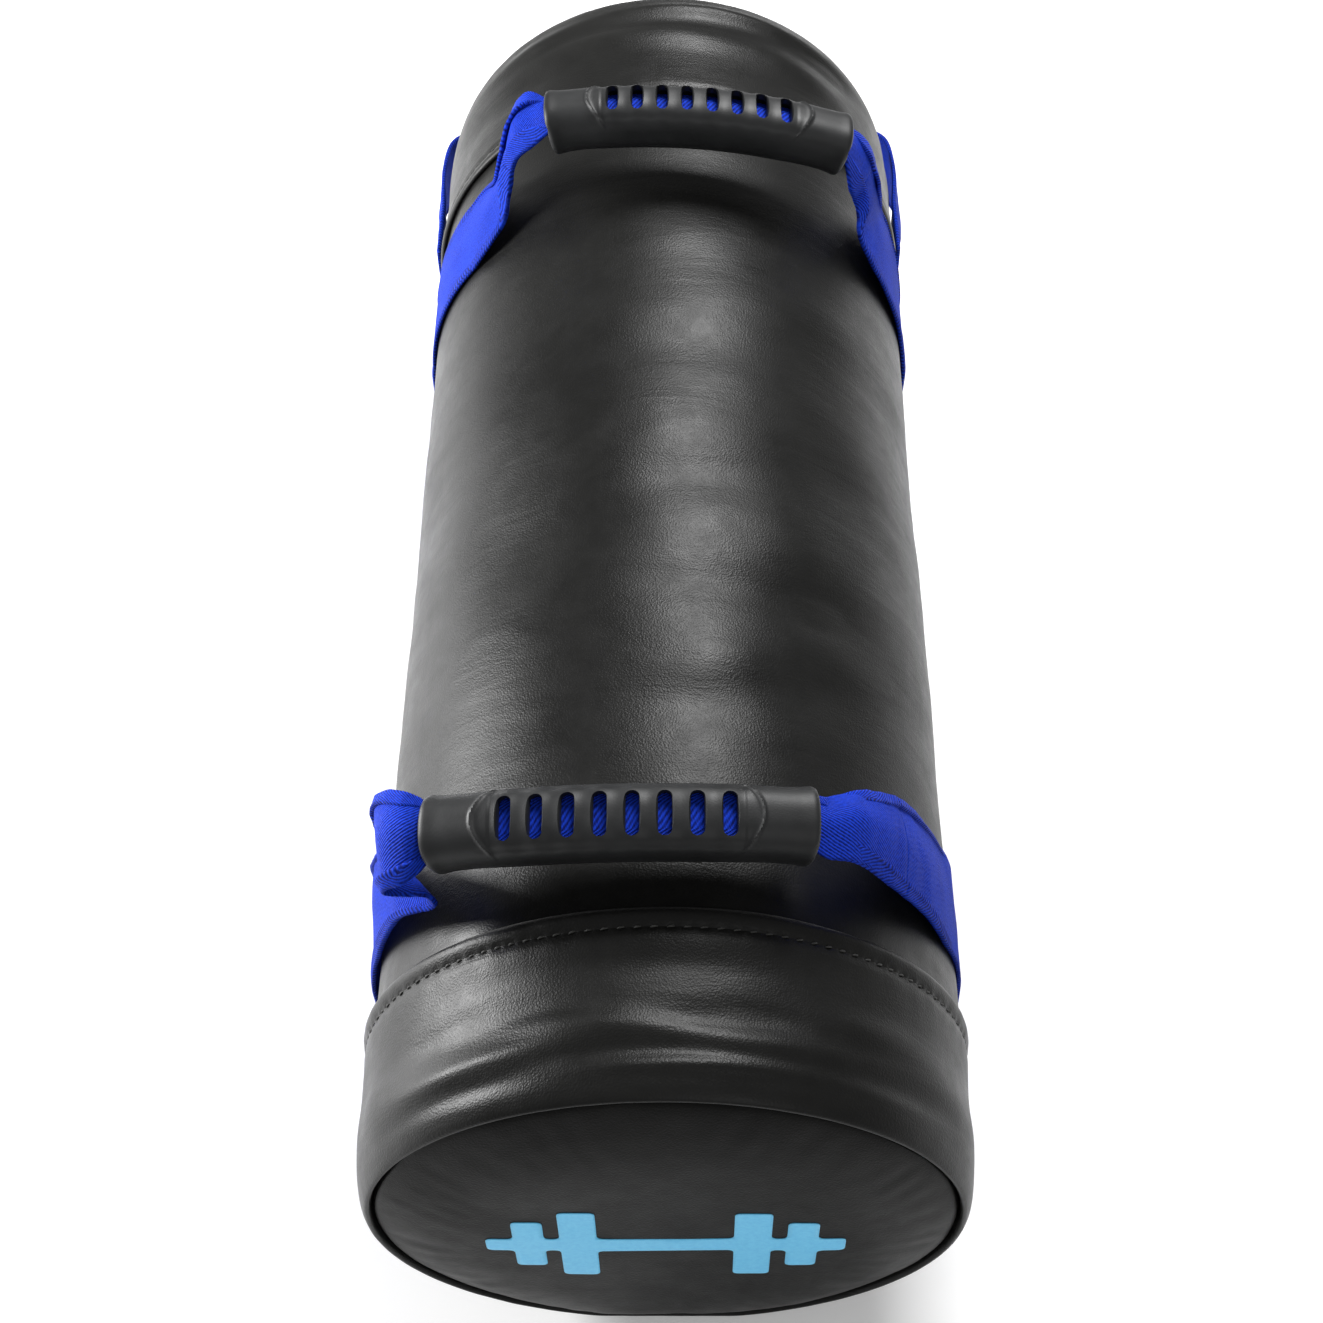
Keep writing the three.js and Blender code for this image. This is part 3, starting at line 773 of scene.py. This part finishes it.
def principled(name, colour, roughness, **sockets):
    mat = bpy.data.materials.new(name)
    mat.use_nodes = True
    nodes, links = mat.node_tree.nodes, mat.node_tree.links
    shader = nodes["Principled BSDF"]
    shader.inputs["Base Color"].default_value = (*colour, 1)
    shader.inputs["Roughness"].default_value = roughness
    for key, value in sockets.items():
        shader.inputs[key.replace("_", " ")].default_value = value
    return mat, nodes, links, shader


def add(nodes, kind, **values):
    node = nodes.new(kind)
    for key, value in values.items():
        if hasattr(node, key):
            setattr(node, key, value)
        else:
            node.inputs[key.replace("_", " ")].default_value = value
    return node


def ramp(nodes, links, source, stops):
    node = nodes.new("ShaderNodeValToRGB")
    elements = node.color_ramp.elements
    for i, (at, colour) in enumerate(stops):
        element = elements[i] if i < 2 else elements.new(at)
        element.position = at
        element.color = (*colour, 1) if hasattr(colour, "__len__") else (colour, colour, colour, 1)
    links.new(source, node.inputs[0])
    return node.outputs[0]


def math_node(nodes, links, operation, a, b=None, c=None):
    node = nodes.new("ShaderNodeMath")
    node.operation = operation
    for i, value in enumerate((a, b, c)):
        if value is None:
            continue
        if isinstance(value, (int, float)):
            node.inputs[i].default_value = value
        else:
            links.new(value, node.inputs[i])
    return node.outputs[0]


def wave_node(nodes, links, source, period):
    turns = math_node(nodes, links, "MULTIPLY", source, 2 * math.pi / period)
    return math_node(nodes, links, "SINE", turns)


def bump(nodes, links, shader, layers):
    """Stacks bump layers of (height output, strength, distance in mm)."""
    last = None
    for height, strength, distance in layers:
        node = nodes.new("ShaderNodeBump")
        node.inputs["Strength"].default_value = strength
        node.inputs["Distance"].default_value = distance / 1000
        links.new(height, node.inputs["Height"])
        if last is not None:
            links.new(last, node.inputs["Normal"])
        last = node.outputs[0]
    links.new(last, shader.inputs["Normal"])


def coated_fabric(name, dark, light, rough, gloss):
    """Black satin-finished PU with a fine pebble grain, scuffs and soft creasing."""
    mat, nodes, links, shader = principled(name, dark, rough[0], Specular_IOR_Level=gloss)
    place = add(nodes, "ShaderNodeTexCoord").outputs["Object"]
    pebble = add(nodes, "ShaderNodeTexVoronoi", feature="F1", Scale=1500.0)
    pebble2 = add(nodes, "ShaderNodeTexVoronoi", feature="DISTANCE_TO_EDGE", Scale=900.0)
    fine = add(nodes, "ShaderNodeTexNoise", Scale=900.0, Detail=3.0, Roughness=0.6)
    broad = add(nodes, "ShaderNodeTexNoise", Scale=14.0, Detail=5.0, Roughness=0.62)
    scuff = add(nodes, "ShaderNodeTexNoise", Scale=85.0, Detail=6.0, Roughness=0.7)
    stretch = add(nodes, "ShaderNodeMapping")
    stretch.inputs["Scale"].default_value = (0.45, 2.2, 0.45)
    crease = add(nodes, "ShaderNodeTexNoise", Scale=60.0, Detail=4.0, Roughness=0.55, Distortion=0.6)
    links.new(place, stretch.inputs[0])
    links.new(stretch.outputs[0], crease.inputs["Vector"])
    for tex in (pebble, pebble2, fine, broad, scuff):
        links.new(place, tex.inputs["Vector"])
    colour = ramp(nodes, links, broad.outputs["Fac"], [(0.3, dark), (0.72, light)])
    links.new(colour, shader.inputs["Base Color"])
    mixed = math_node(nodes, links, "MULTIPLY_ADD", scuff.outputs["Fac"], 0.6, 0.0)
    mixed = math_node(nodes, links, "MULTIPLY_ADD", broad.outputs["Fac"], 0.5, mixed)
    sheen = ramp(nodes, links, mixed, [(0.35, rough[0]), (0.75, rough[1])])
    links.new(sheen, shader.inputs["Roughness"])
    bump(
        nodes,
        links,
        shader,
        [
            (crease.outputs["Fac"], 0.22, 0.9),
            (pebble2.outputs["Distance"], 0.12, 0.3),
            (pebble.outputs["Distance"], 0.25, 0.25),
            (fine.outputs["Fac"], 0.25, 0.12),
        ],
    )
    return mat


# The weave: how far the twill runs along for each step across, then lengths in metres.
TWILL_SLOPE, TWILL_PITCH = 1.7, 0.00175
YARN_ACROSS, YARN_ALONG = 0.0007, 0.0008
SELVAGE_FROM = 0.0182


def webbing(name, deep, bright):
    """Twill webbing: diagonal ribs of fine yarn, painted shade darkening the grooves between ribs and
    yarns, and firm selvages.
    """
    mat, nodes, links, shader = principled(name, bright, 0.7, Specular_IOR_Level=0.09)
    uv = add(nodes, "ShaderNodeUVMap", uv_map="UVMap").outputs[0]
    split = add(nodes, "ShaderNodeSeparateXYZ")
    links.new(uv, split.inputs[0])
    u, v = split.outputs[0], split.outputs[1]
    wobble = add(nodes, "ShaderNodeTexNoise", Scale=160.0, Detail=2.0)
    links.new(uv, wobble.inputs["Vector"])
    drift = math_node(nodes, links, "MULTIPLY_ADD", wobble.outputs["Fac"], 0.0016, -0.0008)
    diagonal = math_node(nodes, links, "MULTIPLY_ADD", u, TWILL_SLOPE, v)
    diagonal = math_node(nodes, links, "ADD", diagonal, drift)
    rib = wave_node(nodes, links, diagonal, TWILL_PITCH)
    rib = math_node(nodes, links, "MULTIPLY_ADD", rib, 0.5, 0.5)
    yarn_u = wave_node(nodes, links, u, YARN_ACROSS)
    yarn_v = wave_node(nodes, links, v, YARN_ALONG)
    yarn = math_node(nodes, links, "MULTIPLY", yarn_u, yarn_v)
    yarn = math_node(nodes, links, "MULTIPLY_ADD", yarn, 0.5, 0.5)
    fuzz = add(nodes, "ShaderNodeTexNoise", Scale=2600.0, Detail=2.0)
    shade = add(nodes, "ShaderNodeTexNoise", Scale=45.0, Detail=4.0)
    links.new(uv, fuzz.inputs["Vector"])
    links.new(uv, shade.inputs["Vector"])
    edge = math_node(nodes, links, "ABSOLUTE", u)
    edge = math_node(nodes, links, "SUBTRACT", edge, SELVAGE_FROM)
    edge = math_node(nodes, links, "MULTIPLY", edge, 900.0)
    edge_mask = add(nodes, "ShaderNodeClamp")
    links.new(edge, edge_mask.inputs[0])
    height = math_node(nodes, links, "MULTIPLY_ADD", yarn, 0.35, rib)
    # Painted shade: the colour darkens with the rib and yarn heights, in the grooves between them.
    yarn_gap_shade = math_node(nodes, links, "MULTIPLY", yarn, 0.14)
    level = math_node(nodes, links, "MULTIPLY_ADD", rib, 0.5, yarn_gap_shade)
    level = math_node(nodes, links, "MULTIPLY_ADD", shade.outputs["Fac"], 0.4, level)
    level = math_node(nodes, links, "MULTIPLY_ADD", edge_mask.outputs[0], -0.12, level)
    speck = add(nodes, "ShaderNodeTexNoise", Scale=950.0, Detail=3.0, Roughness=0.7)
    links.new(uv, speck.inputs["Vector"])
    level = math_node(nodes, links, "MULTIPLY_ADD", speck.outputs["Fac"], 0.9, level)
    level = math_node(nodes, links, "MULTIPLY", level, 0.6)
    links.new(ramp(nodes, links, level, [(0.37, deep), (0.72, bright)]), shader.inputs["Base Color"])
    bump(nodes, links, shader, [(height, 0.7, 0.3), (fuzz.outputs["Fac"], 0.35, 0.1)])
    return mat


def plastic(name, colour):
    mat, nodes, links, shader = principled(name, colour, 0.46, Specular_IOR_Level=0.38)
    place = add(nodes, "ShaderNodeTexCoord").outputs["Object"]
    spark = add(nodes, "ShaderNodeTexNoise", Scale=1900.0, Detail=2.0)
    broad = add(nodes, "ShaderNodeTexNoise", Scale=70.0, Detail=5.0, Roughness=0.65)
    for tex in (spark, broad):
        links.new(place, tex.inputs["Vector"])
    light = tuple(1.7 * c for c in colour)
    shade = ramp(nodes, links, broad.outputs["Fac"], [(0.35, colour), (0.8, light)])
    links.new(shade, shader.inputs["Base Color"])
    sheen = ramp(nodes, links, broad.outputs["Fac"], [(0.3, 0.42), (0.75, 0.56)])
    links.new(sheen, shader.inputs["Roughness"])
    bump(nodes, links, shader, [(broad.outputs["Fac"], 0.15, 0.3), (spark.outputs["Fac"], 0.3, 0.12)])
    return mat


def grainy(name, dark, light, scale, roughness, strength, distance):
    mat, nodes, links, shader = principled(name, dark, roughness)
    place = add(nodes, "ShaderNodeTexCoord").outputs["Object"]
    grain = add(nodes, "ShaderNodeTexNoise", Scale=scale, Detail=5.0, Roughness=0.65)
    cells = add(nodes, "ShaderNodeTexVoronoi", Scale=scale * 1.7)
    for tex in (grain, cells):
        links.new(place, tex.inputs["Vector"])
    shade = ramp(nodes, links, grain.outputs["Fac"], [(0.32, dark), (0.7, light)])
    links.new(shade, shader.inputs["Base Color"])
    heights = (cells.outputs["Distance"], grain.outputs["Fac"])
    bump(nodes, links, shader, [(height, strength, distance) for height in heights])
    return mat


SKIN = coated_fabric(
    "coated_fabric", (0.0046, 0.0046, 0.0043), (0.0092, 0.0092, 0.0086), (0.30, 0.48), 0.20
)
# The end panels take a darker copy of the coated fabric: the darker colour is painted shade of the end
# faces.
SHADED_PANEL = coated_fabric(
    "coated_fabric_panel_shaded", (0.0030, 0.0030, 0.0028), (0.0065, 0.0065, 0.0060), (0.34, 0.50), 0.07
)
BLUE = webbing("webbing_blue", (0.0018, 0.0045, 0.085), (0.009, 0.050, 0.60))
GRIP = plastic("grip_plastic", (0.0085, 0.009, 0.0095))
THREAD = grainy("seam_thread", (0.016, 0.016, 0.015), (0.05, 0.05, 0.047), 1400, 0.6, 0.5, 0.2)
BLUE_THREAD = grainy("webbing_thread", (0.006, 0.02, 0.34), (0.02, 0.07, 0.75), 1500, 0.7, 0.5, 0.2)
INK = grainy("print_ink", (0.10, 0.53, 0.88), (0.15, 0.62, 0.94), 700, 0.45, 0.12, 0.1)
FOAM = grainy("foam", (0.45, 0.47, 0.48), (0.70, 0.72, 0.72), 420, 0.9, 0.8, 0.8)
POUCH = grainy("pouch_nylon", (0.22, 0.23, 0.24), (0.42, 0.43, 0.45), 900, 0.55, 0.5, 0.3)
SAND = grainy("sand", (0.28, 0.19, 0.10), (0.66, 0.52, 0.32), 1300, 0.95, 1.0, 0.8)

# ---------------------------------------------------------------- build

make_body(SKIN)
make_cap("near_cap_skin", "near_cap_sleeve", 0.0, False, NEAR_CAP_DENTS, 5.7, SKIN)
make_cap("far_cap_skin", "far_cap_sleeve", 10.6, True, FAR_CAP_DENTS, 12.3, SKIN)
make_panel("near_panel_skin", "near_end_panel", False, NEAR_PANEL_SEED, SHADED_PANEL)
make_panel("far_panel_skin", "far_end_panel", True, 17.0, SHADED_PANEL)
stitch_ring("near_hem_stitches", "near_hem_thread", NEAR_STITCH, THREAD)
stitch_ring("far_hem_stitches", "far_hem_thread", FAR_STITCH, THREAD)
make_mark(INK)

GIRTH_FROM, GIRTH_TO, GIRTH_R = 97, 263, 100.95


def carry_loop(which, y, plane, yaw, span, rise, sides):
    """A carrying loop: girth band, box stitches, the webbing inside the grip and the two sides.

    Each side has its stations, the station where it is split, the x where the grip ends and the
    heights between which its lower part would bend; nothing here reads those heights. The stations
    keep it clear of the bag, and the side is cut in two at the station where it is split.
    """
    girth = band(f"{which}_girth_band", y, GIRTH_FROM, GIRTH_TO, GIRTH_R, BLUE)
    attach(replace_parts(girth, f"{which}_girth_webbing"), "bag")
    box_stitches(f"{which}_right_stitches", f"{which}_right_box_stitch", y, 98, BLUE_THREAD)
    box_stitches(f"{which}_left_stitches", f"{which}_left_box_stitch", y, 242, BLUE_THREAD)
    inner = core(f"{which}_grip_core", plane, CARRY_REACH, *span, BLUE, rise, yaw)
    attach(inner, f"{which}_loop")
    for side, stations, split, grip_x, bend in sides:
        inward = 1 if side == "left" else -1
        start = [in_bore(plane, CARRY_REACH, grip_x + inward * d, yaw, h) for d, h in BORE_STATIONS]
        loop, sleeve, nodes = f"{which}_loop", f"{which}_grip_sleeve", [f"{which}_loop_webbing"]
        strap(which, side, start + stations, split, nodes)


carry_loop("near", NEAR_LOOP_Y, NEAR_PLANE, 0, (-68, 43), CORE_RISE, (
    ("left", NEAR_LEFT, 4, -71.5, (32, 90)),
    ("right", NEAR_RIGHT, 5, 45.5, (42, 81.5)),
))
carry_loop("far", FAR_LOOP_Y, FAR_PLANE, FAR_YAW, (-43, 68), 2.9, (
    ("left", FAR_LEFT, 4, -45.5, (68, 94.8)),
    ("right", FAR_RIGHT, 3, 71.5, (36, 89)),
))
grip("near_moulded_grip", "near_grip", "near_grip_sleeve", NEAR_PLANE, CARRY_REACH, -13, 0, GRIP)
grip("far_moulded_grip", "far_grip", "far_grip_sleeve", FAR_PLANE, CARRY_REACH, 13, FAR_YAW, GRIP)

# The end loop's side as (x, distance from the hinge line, half width), and the radius its foot lies at.
END_SIDE = [
    (47, 83.8, 9), (60, 81.0, 10), (73, 77.5, 12), (86, 74.5, 15), (98, 70.5, 17), (105.5, 60, 20),
    (108, 46, 20), (107, 32, 20), (104.6, 17, 20), (102.6, 4, 20), (102.2, -14, 20),
]
FOOT_RADIUS = 104.1


def end_net(side):
    """The end loop's side, leaning outwards below, until its sewn foot lies round the cap."""
    out = []
    for k, (x, h, w) in enumerate(END_SIDE):
        lean = 3.2 * min(1, max(0, (k - 1) / 4)) * max(0.25, 1 - max(0, k - 6) / 3)
        sewn = min(1, max(0, (32 - h) / 28))
        rows = []
        for t in (1, 0, -1):
            lying = math.sqrt(FOOT_RADIUS**2 - (END_HINGE_Z - t * w) ** 2)
            across = side * (x + lean * t + sewn * (lying - x - lean * t))
            along, up = np.array(float(h)), np.array(float(t * w))
            rows.append(in_plane(END_PLANE, np.array(across), along, up))
        out.append([tuple(r) for r in rows])
    return out


for side, label in ((1, "right"), (-1, "left")):
    nodes = ["end_loop_webbing", f"end_{label}_webbing_tab"]
    strap("end", label, end_net(side), 4, nodes, False)
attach(core("end_grip_core", END_PLANE, END_REACH, -48, 48, BLUE), "end_loop")
grip("end_moulded_grip", "end_grip", "end_grip_sleeve", END_PLANE, END_REACH, 0, 0, GRIP)

# The filling, in metres: how closely it is cut, how far it is squeezed in and how unevenly.
CUT_EVERY, SQUEEZE, UNEVEN = 0.012, 0.0023, 0.0009


def make_filling(node, material):
    """A hidden soft piece, uneven like the skin round it. All layers move alike, so none cuts another."""
    source = NODES[node]
    mesh = source.data.copy()
    mesh.transform(source.matrix_world)
    bm = bmesh.new()
    bm.from_mesh(mesh)
    low = [min(v.co[i] for v in bm.verts) for i in range(3)]
    high = [max(v.co[i] for v in bm.verts) for i in range(3)]
    for axis in range(3):
        for at in np.arange(low[axis] + CUT_EVERY / 2, high[axis], CUT_EVERY):
            point, normal = Vector((0, 0, 0)), Vector((0, 0, 0))
            point[axis], normal[axis] = at, 1
            geometry = bm.verts[:] + bm.edges[:] + bm.faces[:]
            bmesh.ops.bisect_plane(bm, geom=geometry, plane_co=point, plane_no=normal)
    for v in bm.verts:
        x, y, z = v.co.x, v.co.y, v.co.z - AXIS_Z
        r = max(1e-6, math.hypot(x, z))
        wave = noise.noise(Vector((x / r * 2.2, y * 22, z / r * 2.2))) * 0.8
        wave += noise.noise(Vector((x / r * 5, y * 70, z / r * 5 + 9))) * 0.35
        squeeze = 1 - (SQUEEZE + UNEVEN * wave) / (BODY_R / 1000)
        v.co.x, v.co.z = x * squeeze, z * squeeze + AXIS_Z
    bmesh.ops.triangulate(bm, faces=bm.faces)
    bm.to_mesh(mesh)
    bm.free()
    mesh.materials.clear()
    mesh.materials.append(material)
    mesh.polygons.foreach_set("use_smooth", [True] * len(mesh.polygons))
    mesh.set_sharp_from_angle(angle=math.radians(40))
    obj = bpy.data.objects.new(f"{node}_soft", mesh)
    bpy.context.scene.collection.objects.link(obj)
    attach(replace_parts(obj, node), "bag")


for node, slot, material in (
    ("foam_liner", "foam", FOAM),
    ("near_end_foam", "foam", FOAM),
    ("far_end_foam", "foam", FOAM),
    ("filler_pouch", "pouch_nylon", POUCH),
    ("pouch_closing_disc", "pouch_nylon", POUCH),
    ("sand_filling", "sand", SAND),
):
    make_filling(node, material)

# ---------------------------------------------------------------- floor, light and camera


def area(name, place, aim, size, power):
    data = bpy.data.lights.new(name, "AREA")
    data.shape = "RECTANGLE"
    data.size, data.size_y = size
    data.energy = power
    obj = bpy.data.objects.new(name, data)
    obj.location = place
    obj.rotation_mode = "QUATERNION"
    obj.rotation_quaternion = (Vector(aim) - Vector(place)).to_track_quat("-Z", "Y")
    bpy.context.scene.collection.objects.link(obj)


def make_floor():
    mesh = bpy.data.meshes.new("floor")
    mesh.from_pydata([(-6, -6, 0), (6, -6, 0), (6, 6, 0), (-6, 6, 0)], [], [(0, 1, 2, 3)])
    floor = bpy.data.objects.new("floor", mesh)
    bpy.context.scene.collection.objects.link(floor)
    mat, _, _, shader = principled("floor", (0.93, 0.93, 0.93), 0.85, Emission_Strength=0.16)
    shader.inputs["Emission Color"].default_value = (1, 1, 1, 1)
    mesh.materials.append(mat)


CAMERA_AT = (0.00764, -0.51096, 0.73659)
CAMERA_PITCH_YAW_ROLL = (54.171, -1.23, -1.229)
CAMERA_LENS = 54.97


def make_camera():
    pitch, yaw, roll = (math.radians(a) for a in CAMERA_PITCH_YAW_ROLL)
    level = math.cos(pitch)
    forward = Vector((math.sin(yaw) * level, math.cos(yaw) * level, -math.sin(pitch)))
    right = Vector((math.cos(yaw), -math.sin(yaw), 0))
    up = right.cross(forward)
    x_axis = math.cos(roll) * right + math.sin(roll) * up
    y_axis = -math.sin(roll) * right + math.cos(roll) * up
    data = bpy.data.cameras.new("camera")
    data.lens, data.sensor_width = CAMERA_LENS, 36.0
    camera = bpy.data.objects.new("camera", data)
    turn = Matrix((x_axis, y_axis, -forward)).transposed().to_4x4()
    camera.matrix_world = Matrix.Translation(CAMERA_AT) @ turn
    bpy.context.scene.collection.objects.link(camera)
    bpy.context.scene.camera = camera


make_floor()
make_camera()
world = bpy.data.worlds.new("studio")
world.use_nodes = True
background = world.node_tree.nodes["Background"]
background.inputs["Color"].default_value = (1, 1, 1, 1)
background.inputs["Strength"].default_value = 0.32
bpy.context.scene.world = world
bpy.context.scene.view_settings.view_transform = "Standard"
area("top_softbox", (0.25, 0.70, 1.18), (0.02, -0.1, 0.1), (0.46, 0.46), 20)
area("left_softbox", (-1.05, 0.2, 0.42), (-0.05, -0.24, 0.15), (0.40, 0.55), 22)
area("front_fill", (0.5, -1.3, 1.2), (0.0, -0.1, 0.1), (1.0, 0.8), 3)
